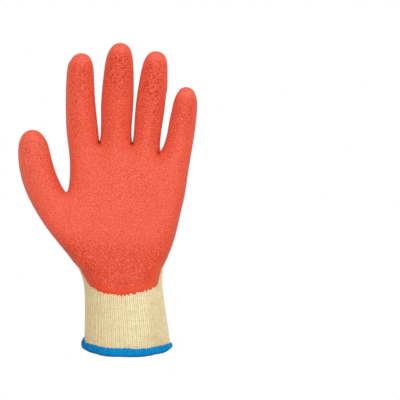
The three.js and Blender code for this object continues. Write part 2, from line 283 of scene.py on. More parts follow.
def smoothstep(x, low, high):
    """A smooth rise from 0 at low to 1 at high."""
    t = np.clip((x - low) / (high - low), 0, 1)
    return t * t * (3 - 2 * t)


def layer(surface, depth):
    """The surface moved inwards by a depth, and pressed flat where it would reach below its support."""
    depth = np.broadcast_to(depth, len(surface.points))
    moved = surface.points - surface.normals * depth[:, None]
    moved[:, 2] = np.maximum(moved[:, 2], np.maximum(depth, 0))
    return moved


# Each digit's end is rounder than the cage makes it: narrower by a share, the rest in mm
Tip = namedtuple("Tip", "rows narrower shoulder lean")
TIPS = [
    Tip(INDEX, 0.075, 1.0, 0.5),
    Tip(MIDDLE, 0.035, 0.6, 0.4),
    Tip(RING, 0.01, 0.7, 0.25),
    Tip(LITTLE, 0.06, 1.0, 0.1),
    Tip(THUMB, 0.055, 0.85, -0.25),
]
TIP_CENTRE = 0.1  # mm by which the middle of an end reaches farther
TIP_FADE = (12.0, 19.0)  # mm from the end's centre over which this fades out
TIP_START = (-13.0, -1.0)  # mm along the digit, from there, over which it begins

# The fold that runs from each web a little way into the palm
FOLD_HALF = 1.2
FOLD_DEPTH = 3.0
FOLD_START = (-7.0, -3.5)  # mm from the web towards the wrist over which it begins
FOLD_END = (-1.0, 3.0)  # and over which it ends
PALM_SIDE = (0.2, 0.8)  # the height of the normal over which the palm's side begins

# The cuff is rounder than the cage makes it: how much lower at its edges, as a share of its height
CUFF_DROP_THUMB = 0.32
CUFF_DROP_LITTLE = 0.17
CUFF_FLAT = 0.35  # the share of its width that stays flat
CUFF_START = (48, 70)  # mm towards the hem over which this begins


def rounded_hand(levels):
    """The hand with its webs folded, and its digits' ends and its cuff's edges rounded."""
    surface = smooth_hand(levels)
    points = surface.points.copy()
    for tip in TIPS:
        last = tip.rows[-1]
        end = np.array(last[:3])
        ahead = end - np.array(tip.rows[-2][:3])
        ahead /= np.linalg.norm(ahead)
        away = surface.points - end
        near = 1 - smoothstep(np.linalg.norm(away, axis=1), *TIP_FADE)
        past = away @ ahead
        aside = away - past[:, None] * ahead
        share = near * smoothstep(past, *TIP_START)
        across = (aside**2).sum(axis=1) / last.wide**2
        push = TIP_CENTRE - tip.shoulder * across
        points += share[:, None] * (push[:, None] * ahead - tip.narrower * aside)
        points[:, 0] += share * tip.lean
    for web in WEBS:
        beside = (surface.points[:, 0] - web.x) / FOLD_HALF
        below = web.y - surface.points[:, 1]
        fold = np.exp(-(beside**2)) * smoothstep(below, *FOLD_START) * (1 - smoothstep(below, *FOLD_END))
        points[:, 2] -= FOLD_DEPTH * fold * smoothstep(surface.normals[:, 2], *PALM_SIDE)
    left = np.interp(-points[:, 1], [-row.y for row in HAND], [row.left for row in HAND])
    right = np.interp(-points[:, 1], [-row.y for row in HAND], [row.right for row in HAND])
    across = (2 * points[:, 0] - left - right) / (right - left)
    drop = np.where(across < 0, CUFF_DROP_THUMB, CUFF_DROP_LITTLE)
    edge = np.clip((np.abs(across) - CUFF_FLAT) / (1 - CUFF_FLAT), 0, 1) ** 2
    points[:, 2] *= 1 - drop * edge * smoothstep(-points[:, 1], *CUFF_START)
    return Surface(points, normals_of(points, surface.quads), surface.quads, surface.grid)


# Layers, as depths below the outside of the latex
KNIT_FACE = 1.1
LINER_FACE = 1.4  # the web of yarn between the stitches
LINER_INSIDE = 2.4
LATEX_INSIDE = 0.9


def frame_shift():
    """The move from the tables' own origin to the frame's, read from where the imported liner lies."""
    face = layer(smooth_hand(1), KNIT_FACE)
    low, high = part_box("knit_liner")
    own = (face.min(axis=0) + face.max(axis=0)) / 2
    packed = (np.array(low) + np.array(high)) / 2 / MM
    return np.array([packed[0] - own[0], packed[1] - own[1], 0.0])


SHIFT = frame_shift()

# Where the knit is bare, on the palm side and on the back
Point = namedtuple("Point", "x y")
PALM_BARE = [
    Point(-90, -54),
    Point(-22.0, -55.7),
    Point(-19.0, -61.8),
    Point(-13.2, -68.4),
    Point(-2.0, -73.4),
    Point(12.8, -75.3),
    Point(22.8, -73.4),
    Point(34.8, -71.0),
    Point(41.0, -67.6),
    Point(43.2, -61.4),
    Point(44.5, -55.7),
    Point(90, -54),
    Point(90, -160),
    Point(-90, -160),
]
WINDOW = [
    Point(-90, -50),
    Point(-46, -42),
    Point(-30, -35),
    Point(-34.5, -24),
    Point(-37.2, -13),
    Point(-32.6, -7),
    Point(-27.2, 3),
    Point(-22.8, 16.4),
    Point(-18.5, 25),
    Point(-11, 31.4),
    Point(5, 35.2),
    Point(23.3, 32.5),
    Point(35, 27.2),
    Point(43.6, 20.8),
    Point(49, 12.2),
    Point(52.2, -5),
    Point(52.6, -20),
    Point(51, -31),
    Point(60, -38),
    Point(90, -42),
    Point(90, -160),
    Point(-90, -160),
]
SIDE_TURN = 0.5  # the height of the normal within which one outline turns into the other


def latex_depth(points, normals):
    """How far each point lies inside the latex, in mm; negative where the knit is bare."""
    x, y = points[:, 0], points[:, 1]
    palm = outside_of(PALM_BARE, x, y)
    back = outside_of(WINDOW, x, y)
    return palm + (back - palm) * smoothstep(-normals[:, 2], -SIDE_TURN, SIDE_TURN)


def outside_of(outline, x, y):
    """The distance from each point to an outline, negative inside it."""
    inside = np.zeros(len(x), bool)
    nearest = np.full(len(x), np.inf)
    for a, b in zip(outline, outline[1:] + outline[:1]):
        dx = b.x - a.x
        dy = b.y - a.y
        t = np.clip(((x - a.x) * dx + (y - a.y) * dy) / (dx * dx + dy * dy), 0, 1)
        nearest = np.minimum(nearest, np.hypot(a.x + dx * t - x, a.y + dy * t - y))
        if dy:
            inside ^= ((a.y > y) != (b.y > y)) & (x < a.x + dx * (y - a.y) / dy)
    return np.where(inside, -nearest, nearest)


def mesh_object(name, points, faces, material, replaced=()):
    """A smooth piece from points in the tables' own frame, in mm, that rides on the glove."""
    mesh = bpy.data.meshes.new(name)
    mesh.from_pydata(((points + SHIFT) * MM).tolist(), [], faces)
    mesh.shade_smooth()
    mesh.materials.append(material)
    piece = bpy.data.objects.new(name, mesh)
    bpy.context.scene.collection.objects.link(piece)
    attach(piece, "root")
    if replaced:
        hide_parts(*replaced)
    return piece


def set_values(piece, name, values):
    """Stores one number for each point of a piece, for its material to read."""
    attribute = piece.data.attributes.new(name, "FLOAT", "POINT")
    attribute.data.foreach_set("value", np.asarray(values, float))


def wall(outer, inner, quads):
    """A closed wall between two layers of the same quads."""
    n = len(outer)
    faces = [*quads.tolist(), *(quads[:, ::-1] + n).tolist()]
    for a, b in open_edges(quads):
        faces.append([b, a, a + n, b + n])
    return np.vstack([outer, inner]), faces


def open_edges(quads):
    """The edges that belong to one face only, each in that face's direction."""
    starts = quads.ravel()
    ends = np.roll(quads, -1, axis=1).ravel()
    low = np.minimum(starts, ends)
    high = np.maximum(starts, ends)
    key = low * (quads.max() + 1) + high
    _, first, count = np.unique(key, return_index=True, return_counts=True)
    single = first[count == 1]
    return list(zip(starts[single].tolist(), ends[single].tolist()))


# Colours, as they look in the photograph
def linear(colour):
    """A colour from its sRGB hex digits, as the linear values that materials take."""
    parts = [int(colour[i : i + 2], 16) / 255 for i in (1, 3, 5)]
    return (*[c / 12.92 if c <= 0.04045 else ((c + 0.055) / 1.055) ** 2.4 for c in parts], 1.0)


def scale_of(size):
    """The scale of a texture whose pattern repeats about every so many mm."""
    return 1 / (size * MM)


def add_node(tree, kind, inputs=None, **settings):
    """Adds a node, with its settings and with its inputs set to values or linked to sockets."""
    made = tree.nodes.new(kind)
    for name, value in settings.items():
        setattr(made, name, value)
    for name, value in (inputs or {}).items():
        if isinstance(value, bpy.types.NodeSocket):
            tree.links.new(value, made.inputs[name])
        else:
            made.inputs[name].default_value = value
    return made


def new_material(name, finish):
    """A material whose shader has this finish: its tree and the shader."""
    material = bpy.data.materials.new(name)
    material.use_nodes = True
    tree = material.node_tree
    shader = tree.nodes["Principled BSDF"]
    for socket, value in finish.items():
        shader.inputs[socket].default_value = value
    return material, tree, shader


# The colour sockets of a mix node
SHARE = 0
FIRST = 6
SECOND = 7
MIXED = 2

# The sizes in mm of the patterns in the latex, the yarn and the thread
GRAIN_SIZE = 0.7
PIT_SIZE = 1.45
MOTTLE_SIZE = 25
TUFT_SIZE = 2.2
THREAD_TUFT_SIZE = 3.0
FIBRE_SIZE = 0.35  # real fibres are too fine to show, so they are drawn this coarse
THREAD_FIBRE_SIZE = 0.3  # and so are those of the thread

# The colours laid over the plain latex, one after another, each as strong as its look and pattern
Tint = namedtuple("Tint", "look colour pattern start whole", defaults=[None] * 3)
LATEX_TINTS = [  # the numbers are the pattern's values where a colour begins and is whole
    Tint("deep", "#d43d11"),
    # The wrinkles' creases are painted much darker than their crests, as painted shade
    Tint("wrinkled", "#b52e12", "crease", 0.5, 1.0),
    Tint("wrinkled", "#df5236", "crease", 0.5, 0.0),
    Tint("grainy", "#f66f58", "grain", 0.52, 0.7),
    Tint("grainy", "#a02410", "grain", 0.48, 0.3),
    Tint("pitted", "#ac220b", "pits", 0.5, 0.43),
    # Painted shade in the middle of the fold that runs from each web
    Tint("folded", "#7c1a0d"),
]
LATEX_FINISH = {
    "Roughness": 0.6,
    "IOR": 1.52,
    "Specular IOR Level": 0.3,
    "Sheen Weight": 0.07,
    "Sheen Roughness": 0.4,
    "Sheen Tint": linear("#ff8a66"),
}


# Natural rubber latex, dipped and crinkled while it set: satin, with shallow wrinkles whose
# hollows are painted deeper in colour than their crests as painted shade, a fine grain, and small dark pits
# on the fingers
def crinkled_latex():
    material, tree, shader = new_material("crinkled_natural_latex", LATEX_FINISH)
    place = add_node(tree, "ShaderNodeTexCoord").outputs["Object"]
    patterns = {"crease": add_node(tree, "ShaderNodeAttribute", attribute_name="crease").outputs["Fac"]}
    for name, inputs in (
        ("grain", {"Scale": scale_of(GRAIN_SIZE), "Detail": 0.0}),
        ("pits", {"Scale": scale_of(PIT_SIZE), "Detail": 1.0, "Roughness": 0.6}),
        ("mottle", {"Scale": scale_of(MOTTLE_SIZE), "Detail": 2.0}),
    ):
        patterns[name] = add_node(tree, "ShaderNodeTexNoise", {"Vector": place, **inputs}).outputs["Fac"]
    inputs = {SHARE: patterns["mottle"], FIRST: linear("#e25a43"), SECOND: linear("#e7614a")}
    colour = add_node(tree, "ShaderNodeMix", inputs, data_type="RGBA").outputs[MIXED]
    for tint in LATEX_TINTS:
        share = add_node(tree, "ShaderNodeAttribute", attribute_name=tint.look).outputs["Fac"]
        if tint.pattern:
            inputs = {"Value": patterns[tint.pattern], "From Min": tint.start, "From Max": tint.whole}
            along = add_node(tree, "ShaderNodeMapRange", inputs).outputs[0]
            share = add_node(tree, "ShaderNodeMath", {0: along, 1: share}, operation="MULTIPLY").outputs[0]
        inputs = {SHARE: share, FIRST: colour, SECOND: linear(tint.colour)}
        colour = add_node(tree, "ShaderNodeMix", inputs, data_type="RGBA").outputs[MIXED]
    tree.links.new(colour, shader.inputs["Base Color"])
    inputs = {"Height": patterns["grain"], "Strength": 0.35, "Distance": 0.4 * MM}
    bump = add_node(tree, "ShaderNodeBump", inputs)
    tree.links.new(bump.outputs[0], shader.inputs["Normal"])
    return material


# Undyed cotton and polyester yarn: matt and a little fuzzy, twisted from plies, with painted shade
# along the folded edges of the cuff
def twisted_cotton(name, light, dark):
    finish = {"Roughness": 0.9, "Sheen Weight": 0.25, "Sheen Roughness": 0.5}
    material, tree, shader = new_material(name, finish)
    place = add_node(tree, "ShaderNodeTexCoord").outputs["Object"]
    inputs = {"Vector": place, "Scale": scale_of(TUFT_SIZE), "Detail": 2.0}
    tufts = add_node(tree, "ShaderNodeTexNoise", inputs).outputs["Fac"]
    shade = add_node(tree, "ShaderNodeAttribute", attribute_name="shade").outputs["Fac"]
    uneven = add_node(tree, "ShaderNodeMath", {0: tufts, 1: shade}, operation="ADD").outputs[0]
    middle = add_node(tree, "ShaderNodeMath", {0: uneven, 1: 0.5}, operation="SUBTRACT", use_clamp=True)
    inputs = {SHARE: middle.outputs[0], FIRST: linear(dark), SECOND: linear(light)}
    unshaded = add_node(tree, "ShaderNodeMix", inputs, data_type="RGBA").outputs[MIXED]
    # Painted shade along the cuff's folded edges, multiplied over the yarn's colour
    edge = add_node(tree, "ShaderNodeAttribute", attribute_name="edge").outputs["Fac"]
    inputs = {SHARE: edge, FIRST: unshaded, SECOND: linear("#e8dfce")}
    edge_shaded = add_node(tree, "ShaderNodeMix", inputs, data_type="RGBA", blend_type="MULTIPLY")
    tree.links.new(edge_shaded.outputs[MIXED], shader.inputs["Base Color"])
    inputs = {"Vector": place, "Scale": scale_of(FIBRE_SIZE), "Detail": 3.0}
    fibres = add_node(tree, "ShaderNodeTexNoise", inputs).outputs["Fac"]
    bump = add_node(tree, "ShaderNodeBump", {"Height": fibres, "Strength": 0.5, "Distance": 0.12 * MM})
    tree.links.new(bump.outputs[0], shader.inputs["Normal"])
    return material


# The inside of the knit: rows of small purl bumps, brushed soft, painted darker between the bumps as
# painted shade
def purl_cotton():
    material, tree, shader = new_material("purl_side_of_cotton_knit", {"Roughness": 0.9})
    place = add_node(tree, "ShaderNodeTexCoord").outputs["Object"]
    waves = []
    for axis, size in (("X", WALE_WIDE), ("Y", COURSE)):
        inputs = {"Vector": place, "Scale": WAVE_SCALE / (size * MM), "Distortion": 0.4}
        waves.append(add_node(tree, "ShaderNodeTexWave", inputs, bands_direction=axis).outputs["Fac"])
    purls = add_node(tree, "ShaderNodeMath", {0: waves[0], 1: waves[1]}, operation="MULTIPLY").outputs[0]
    inputs = {SHARE: purls, FIRST: linear("#c9b581"), SECOND: linear("#efdfb4")}
    colour = add_node(tree, "ShaderNodeMix", inputs, data_type="RGBA").outputs[MIXED]
    tree.links.new(colour, shader.inputs["Base Color"])
    bump = add_node(tree, "ShaderNodeBump", {"Height": purls, "Strength": 0.7, "Distance": 0.5 * MM})
    tree.links.new(bump.outputs[0], shader.inputs["Normal"])
    return material


# Blue polyester overlock thread: textured yarn that fills the edge, soft, with hardly any gloss
def overlock_thread():
    finish = {"Roughness": 0.8, "Specular IOR Level": 0.12}
    material, tree, shader = new_material("textured_polyester_thread", finish)
    place = add_node(tree, "ShaderNodeTexCoord").outputs["Object"]
    inputs = {"Vector": place, "Scale": scale_of(THREAD_TUFT_SIZE), "Detail": 3.0}
    tufts = add_node(tree, "ShaderNodeTexNoise", inputs).outputs["Fac"]
    shade = add_node(tree, "ShaderNodeAttribute", attribute_name="shade").outputs["Fac"]
    uneven = add_node(tree, "ShaderNodeMix", {0: 0.5, 2: tufts, 3: shade}).outputs[0]
    inputs = {SHARE: uneven, FIRST: linear("#005f9c"), SECOND: linear("#009edc")}
    colour = add_node(tree, "ShaderNodeMix", inputs, data_type="RGBA").outputs[MIXED]
    tree.links.new(colour, shader.inputs["Base Color"])
    inputs = {"Vector": place, "Scale": scale_of(THREAD_FIBRE_SIZE), "Detail": 3.0}
    fibres = add_node(tree, "ShaderNodeTexNoise", inputs).outputs["Fac"]
    bump = add_node(tree, "ShaderNodeBump", {"Height": fibres, "Strength": 0.5, "Distance": 0.1 * MM})
    tree.links.new(bump.outputs[0], shader.inputs["Normal"])
    return material


# The knit's grid: rows of the hand's surface, and wales that share each half ring evenly
LEVELS = 4
STEPS = 2**LEVELS
HAND_STEPS = (len(HAND) - 1) * STEPS
AROUND = RING_POINTS * STEPS
WALES = 29  # stitches across the palm half, and as many across the back
WALE_PARTS = 4  # places of the grid across a stitch
COURSE = 1.46  # mm from one row of stitches to the next
WALE_WIDE = 3.3  # mm across a stitch
WAVE_SCALE = math.pi / 10  # a wave texture of this scale has a period of one metre
LAST = 1.001  # taken off a grid's length, for the last place that has a point after it
fine = rounded_hand(LEVELS)

Half = namedtuple("Half", "points normals depth")


def surface_grid():
    """The number of the surface's point at each row of the hand and each place around it."""
    numbers = np.full((HAND_STEPS + 1, AROUND), -1)
    on_hand = fine.grid[:, 0, 1] > NO_GRID
    place = np.rint(fine.grid[on_hand].reshape(-1, 2) * STEPS).astype(int)
    numbers[place[:, 1], place[:, 0] % AROUND] = fine.quads[on_hand].ravel()
    return numbers


def knit_half(numbers, first):
    """The half ring that begins at a column, resampled so that its wales are evenly wide."""
    columns = np.arange(first, first + AROUND // 2 + 1) % AROUND
    taken = numbers[:, columns]
    points = fine.points[taken]
    steps = np.linalg.norm(np.diff(points, axis=1), axis=2)
    along = np.concatenate([np.zeros((len(points), 1)), np.cumsum(steps, axis=1)], axis=1)
    share = along / along[:, -1:]
    whole = (taken >= 0).all(axis=1)
    rows = np.arange(len(points))
    for column in range(share.shape[1]):
        share[:, column] = np.interp(rows, rows[whole], share[whole, column])
    wanted = np.linspace(0, 1, WALES * WALE_PARTS + 1)
    made = []
    field = latex_depth(fine.points, fine.normals)
    for row in rows:
        at = np.interp(wanted, share[row], np.arange(len(columns)))
        low = np.minimum(at.astype(int), len(columns) - 2)
        t = (at - low)[:, None]
        a = taken[row, low]
        b = taken[row, low + 1]
        point = fine.points[a] * (1 - t) + fine.points[b] * t
        normal = fine.normals[a] * (1 - t) + fine.normals[b] * t
        depth = field[a] * (1 - t[:, 0]) + field[b] * t[:, 0]
        depth[(a < 0) | (b < 0)] = np.inf
        made.append((point, normal, depth))
    return Half(*(np.array(part) for part in zip(*made)))


def sample(grid, row, column):
    """Values of a grid between its points."""
    r = np.clip(row, 0, grid.shape[0] - LAST)
    c = np.clip(column, 0, grid.shape[1] - LAST)
    r0 = r.astype(int)
    c0 = c.astype(int)
    tr = r - r0
    tc = c - c0
    if grid.ndim == 3:
        tr = tr[..., None]
        tc = tc[..., None]
    low = grid[r0, c0] * (1 - tc) + grid[r0, c0 + 1] * tc
    high = grid[r0 + 1, c0] * (1 - tc) + grid[r0 + 1, c0 + 1] * tc
    return low * (1 - tr) + high * tr


# One leg of a stitch, from the foot of its V to the top, as shares of a course and a wale and in mm
Station = namedtuple("Station", "along out height radius")
LEG = [
    Station(-0.85, 0.0, -0.6, 0.0),
    Station(-0.45, 0.11, 0.0, 0.56),
    Station(0.0, 0.25, 0.12, 0.56),
    Station(0.45, 0.4, 0.0, 0.55),
    Station(0.85, 0.5, -0.6, 0.0),
]
LEG_SIDES = 5
LEG_FLATNESS = 0.8
YARN_BOTTOM = 0.1  # mm over the support
MARGIN = 1.6  # mm by which the stitches go on under the latex's edge

# How light each stitch is, by chance, and where its yarn is painted darker as painted shade
TONES = (0.55, 1.1)
FURROW_SHADE = 0.3  # towards the furrows between the wales
FURROW_START = 0.2  # from the middle of a wale, as a share of it
END_SHADE = 0.7  # at the two ends of a leg, where it dives under its neighbours

# How strong a look is, as shares at places in mm across the hand, towards its little finger
Ramp = namedtuple("Ramp", "places shares")
# How strong the stitches' painted shade is across the hand
STITCH_SHADE_STRENGTH = Ramp([-18, -6, 6, 18, 30], [2.2, 1.8, 1.2, 0.8, 0.8])


def leg_template():
    """The points of one leg as along, out and height, and its faces."""
    first, *middle, last = LEG
    points = [(first.along, first.out, 0.0, first.height)]
    for station in middle:
        for k in range(LEG_SIDES):
            angle = 2 * math.pi * k / LEG_SIDES
            aside = station.radius * math.cos(angle)
            up = station.height + station.radius * math.sin(angle) * LEG_FLATNESS
            points.append((station.along, station.out, aside, up))
    points.append((last.along, last.out, 0.0, last.height))
    end = len(points) - 1
    faces = []
    for k in range(LEG_SIDES):
        after = (k + 1) % LEG_SIDES
        faces.append((0, 1 + after, 1 + k))
        for ring in range(len(middle) - 1):
            a = 1 + ring * LEG_SIDES
            faces.append((a + k, a + after, a + LEG_SIDES + after, a + LEG_SIDES + k))
        a = 1 + (len(middle) - 1) * LEG_SIDES
        faces.append((a + k, a + after, end))
    return np.array(points), faces


def knit_stitches(half, near_row, far_row):
    """V-shaped stitches over the bare part of one half, between two rows of the surface."""
    steps = np.linalg.norm(np.diff(half.points, axis=0), axis=2)
    bare = np.isfinite(half.depth[1:]) & np.isfinite(half.depth[:-1])
    step = np.nansum(np.where(bare, steps, 0), axis=1) / np.maximum(bare.sum(axis=1), 1)
    rows = np.arange(len(half.points))
    length = np.concatenate([[0], np.cumsum(step)])
    from_cuff = length[-1] - length
    first = int((from_cuff[near_row] - from_cuff[END_ROW]) / COURSE)
    last = int((from_cuff[far_row] - from_cuff[END_ROW]) / COURSE)
    template, leg_faces = leg_template()
    points = []
    faces = []
    shades = []
    wales, courses = np.meshgrid(np.arange(WALES), np.arange(first, last), indexing="ij")
    wales = wales.ravel()
    courses = courses.ravel()

    def row_at(course):
        return np.interp(from_cuff[END_ROW] + course * COURSE, from_cuff[::-1], rows[::-1])

    depth = sample(half.depth, row_at(courses + 0.5), (wales + 0.5) * WALE_PARTS)
    keep = depth < MARGIN
    wales = wales[keep]
    courses = courses[keep]
    side_step = np.linalg.norm(np.diff(half.points, axis=1), axis=2) * WALE_PARTS
    wide = sample(side_step, row_at(courses + 0.5), (wales + 0.5) * WALE_PARTS)
    tone = chance.uniform(*TONES, len(wales))
    for hand in (-1, 1):
        along, out, aside, height = (template[:, i][None, :] for i in range(4))
        course = courses[:, None] + 0.5 + along
        wale = wales[:, None] + 0.5 + hand * (out + aside / wide[:, None])
        row = row_at(course)
        at = sample(half.points, row, wale * WALE_PARTS)
        normal = sample(half.normals, row, wale * WALE_PARTS)
        depth = KNIT_FACE - height
        made = at - normal * depth[..., None]
        made[..., 2] = np.maximum(made[..., 2], np.maximum(depth, YARN_BOTTOM))
        base = sum(len(p) for p in points)
        points.append(made.reshape(-1, 3))
        # Each stitch's tone by chance, less painted shade towards the furrows and the legs' ends
        outward = np.clip((out + aside / wide[:, None] - FURROW_START) / (0.5 - FURROW_START), 0, 1)
        shade_strength = np.interp(at[..., 0], *STITCH_SHADE_STRENGTH)
        shades.append((tone[:, None] - shade_strength * (FURROW_SHADE * outward**2 + END_SHADE * along**2)).ravel())
        n = len(template)
        for s in range(len(wales)):
            start = base + s * n
            for face in leg_faces:
                order = face if hand > 0 else face[::-1]
                faces.append([start + v for v in order])
    return np.vstack(points), faces, np.concatenate(shades)


SEED = 7
chance = np.random.default_rng(SEED)
numbers = surface_grid()
back_half = knit_half(numbers, LITTLE_EDGE * STEPS)
palm_half = knit_half(numbers, THUMB_EDGE * STEPS)
PALM_ROW = 4 * STEPS  # the palm side's bare knit begins nearer the cuff than this row
CUFF_ROW = 6 * STEPS - 8  # where the back's stitches change from one piece to the next
END_ROW = HAND_STEPS - 1

cotton = twisted_cotton("twisted_cotton_yarn", "#fff5d0", "#e6d5a2")
# The yarn between the stitches is coloured darker than the stitches, as painted shade in the gaps
web_cotton_in_painted_shade = twisted_cotton("cotton_between_the_stitches", "#ccb683", "#bda570")
latex = crinkled_latex()
thread = overlock_thread()


def liner():
    """The knitted liner: a thin wall over the whole hand, open at the cuff."""
    surface = rounded_hand(LEVELS - 1)
    points, faces = wall(layer(surface, LINER_FACE), layer(surface, LINER_INSIDE), surface.quads)
    piece = mesh_object("liner_wall", points, faces, web_cotton_in_painted_shade, ["knit_liner"])
    piece.data.materials.append(purl_cotton())
    side = np.zeros(len(faces), int)
    side[len(surface.quads) :] = 1
    piece.data.polygons.foreach_set("material_index", side)


# Painted shade on the cuff's yarn along its two folded edges: shares at places in mm across the hand
CUFF_EDGE_PAINTED_SHADE = Ramp([-17, -3, 12, 30, 37, 45], [1.1, 0.5, 0.1, 0.0, 0.55, 0.65])
CUFF_EDGE_SHADE_START = (48, 60)  # mm towards the hem


def painted_cuff_edge_shade(points):
    """How much painted shade darkens the cuff's yarn along its two folded edges, as a share."""
    return np.interp(points[:, 0], *CUFF_EDGE_PAINTED_SHADE) * smoothstep(-points[:, 1], *CUFF_EDGE_SHADE_START)


def stitches():
    """The face of the knit where it is bare: over the palm side of the cuff, and over the back."""
    for name, half, near_row, far_row in (
        ("palm_side_stitches", palm_half, END_ROW, PALM_ROW),
        ("cuff_back_stitches", back_half, END_ROW, CUFF_ROW),
        ("back_stitches", back_half, CUFF_ROW, 0),
    ):
        points, faces, tone = knit_stitches(half, near_row, far_row)
        piece = mesh_object(name, points, faces, cotton)
        set_values(piece, "shade", tone)
        # Painted shade along the cuff's folded edges
        set_values(piece, "edge", painted_cuff_edge_shade(points))


# The latex's wrinkles: coarse ones of this size, and finer ones on them
CRINKLE_SIZE = 2.0
CRINKLE_FINER = 1.9  # times
CRINKLE_FINE_SHARE = 0.5
CRINKLE_OPEN = 0.55  # the noise's value at which a crease is deepest
CRINKLE_DEPTH = 0.28
CRINKLE_LEAST = 0.2  # of that depth, where the latex is smoothest

# The film's edge, where it thins out among the stitches
FILM_START = (-0.5, 1.1)  # mm inside the latex line over which the film becomes whole
EDGE_DEPTH = 1.6  # how deep among the stitches it ends
FILM_EDGE = 0.2  # how thick it is there
EDGE_TEETH = 0.7  # how far it runs down some stitches
TOOTH_SHARE = 0.6  # the share of that which a tooth has on average
TOOTH_WANDER = 6  # mm over which the teeth change


def crinkle_height(points):
    """The latex's wrinkles: 0 on their crests and 1 in their creases."""
    made = np.empty(len(points))
    for i, p in enumerate(points.tolist()):
        at = Vector(p) / CRINKLE_SIZE
        made[i] = noise.noise(at) + CRINKLE_FINE_SHARE * noise.noise(at * CRINKLE_FINER)
    return smoothstep(np.abs(made), 0.0, CRINKLE_OPEN)


# The ranges over which the looks of the latex change
DIGITS_START = (35, 60)  # mm towards the fingers
THUMB_ACROSS = (42, 50)  # mm towards the thumb's side
THUMB_START = (-5, 15)
HEEL_START = (22, 50)  # mm towards the cuff
FACING = (0.55, 0.99)  # the height of the normal, up or down
TIP_LOOK = (6, 15)  # mm from a digit's end
UPPER_LOOK = (25, 50)
EDGE_INWARDS = (2, 11)  # mm in from the latex's edge
# The painted shade in each web's fold
FOLD_LOOK = (0.3, 1.6)  # mm from the dark middle of a fold
FOLD_AHEAD = 2.2  # mm from the web to this middle
FOLD_LONG = 1.6  # times as long as it is wide

# How strong each look is on the palm, its heel and the digits
PALM_DEEP = Ramp([-35, -20], [0.4, 0.53])
HEEL_DEEP = Ramp([-25, 0, 25], [0.75, 0.6, 0.5])
HEEL_EDGE_PALER = Ramp([20, 40], [0.0, 0.45])
DIGIT_DEEP = Ramp([-60, -22, 8, 36, 62], [0.22, 0.33, 0.42, 0.36, 0.26])
DIGIT_PALER = Ramp([-50, -40], [0.45, 0.2])
TIP_PALER = 0.4
HEEL_WRINKLED = Ramp([-20, 10, 40], [0.85, 0.25, 0.15])
LEAST_WRINKLED = 0.12
DIGIT_PITTED = Ramp([-60, -22, 8, 36, 62], [0.35, 0.6, 0.85, 0.85, 0.4])
LOWER_PITTED = 0.4  # of that, on the lower half of a digit
HEEL_PITTED = Ramp([-25, 0, 30, 45], [0.5, 0.4, 0.3, 0.1])
PALM_GRAINY = 0.5
HEEL_GRAINIER = 0.45
HEEL_EDGE_SMOOTHER = 0.3
DIGIT_SMOOTHER = 0.02

Looks = namedtuple("Looks", "grainy wrinkled deep pitted folded")


def latex_looks(points, normals, field):
    """How grainy, wrinkled, deep in colour and pitted the latex is at each point, and its painted shade in
    the webs' folds, as shares.
    """
    x, y = points[:, 0], points[:, 1]
    thumb = smoothstep(-x, *THUMB_ACROSS) * smoothstep(y, *THUMB_START)
    digit = np.maximum(smoothstep(y, *DIGITS_START), thumb)
    heel = smoothstep(-y, *HEEL_START)
    middle = smoothstep(np.abs(normals[:, 2]), *FACING)
    inwards = smoothstep(field, *EDGE_INWARDS)
    tip = np.zeros(len(points))
    upper = np.zeros(len(points))
    for rows in (INDEX, MIDDLE, RING, LITTLE, THUMB):
        away = np.linalg.norm(points - np.array(rows[-1][:3]), axis=1)
        tip = np.maximum(tip, 1 - smoothstep(away, *TIP_LOOK))
        upper = np.maximum(upper, 1 - smoothstep(away, *UPPER_LOOK))
    # Painted shade along the middle of each web's fold
    folded = np.zeros(len(points))
    for web in WEBS:
        away = np.hypot(x - web.x, (y - web.y - FOLD_AHEAD) / FOLD_LONG)
        folded = np.maximum(folded, 1 - smoothstep(away, *FOLD_LOOK))
    deep = np.interp(x, *PALM_DEEP) + heel * np.interp(x, *HEEL_DEEP)
    # On the digits the colour is deep only where they face up or down, so their sides are painted paler as
    # painted light
    deep_where_facing = np.interp(x, *DIGIT_DEEP) * middle * (1 - tip)
    deep += digit * (deep_where_facing - np.interp(x, *DIGIT_PALER) - TIP_PALER * tip)
    deep -= heel * (1 - inwards) * np.interp(x, *HEEL_EDGE_PALER)
    wrinkled = LEAST_WRINKLED + heel * inwards * np.interp(x, *HEEL_WRINKLED)
    grainy = PALM_GRAINY + heel * (HEEL_GRAINIER * inwards - HEEL_EDGE_SMOOTHER) - DIGIT_SMOOTHER * digit
    spots = np.interp(x, *DIGIT_PITTED) * (LOWER_PITTED + (1 - LOWER_PITTED) * upper)
    pitted = digit * middle * (1 - tip) * spots
    pitted += heel * inwards * np.interp(x, *HEEL_PITTED)
    return Looks(grainy, wrinkled, deep, pitted, folded)


def coarse_groups(surface):
    """The surface's quads in fours, each four round the middle of one quad of the level below.

    Each quad starts at its corner of the coarser quad, and the fours go round it in order.
    """
    tree = kdtree.KDTree(len(surface.points))
    for i, p in enumerate(surface.points.tolist()):
        tree.insert(p, i)
    tree.balance()
    coarse = np.zeros(len(surface.points), bool)
    coarse[[tree.find(p)[1] for p in rounded_hand(LEVELS - 1).points.tolist()]] = True
    start = coarse[surface.quads].argmax(axis=1)
    order = (start[:, None] + np.arange(4)) % 4
    quads = np.take_along_axis(surface.quads, order, axis=1)
    fours = quads[np.argsort(quads[:, 2], kind="stable")].reshape(-1, 4, 4)
    every = np.arange(len(fours))
    turn = [np.zeros(len(fours), int)]
    for _ in range(3):
        middle = fours[every, turn[-1], 1]
        turn.append((fours[:, :, 3] == middle[:, None]).argmax(axis=1))
    return np.take_along_axis(fours, np.stack(turn, axis=1)[:, :, None], axis=1)


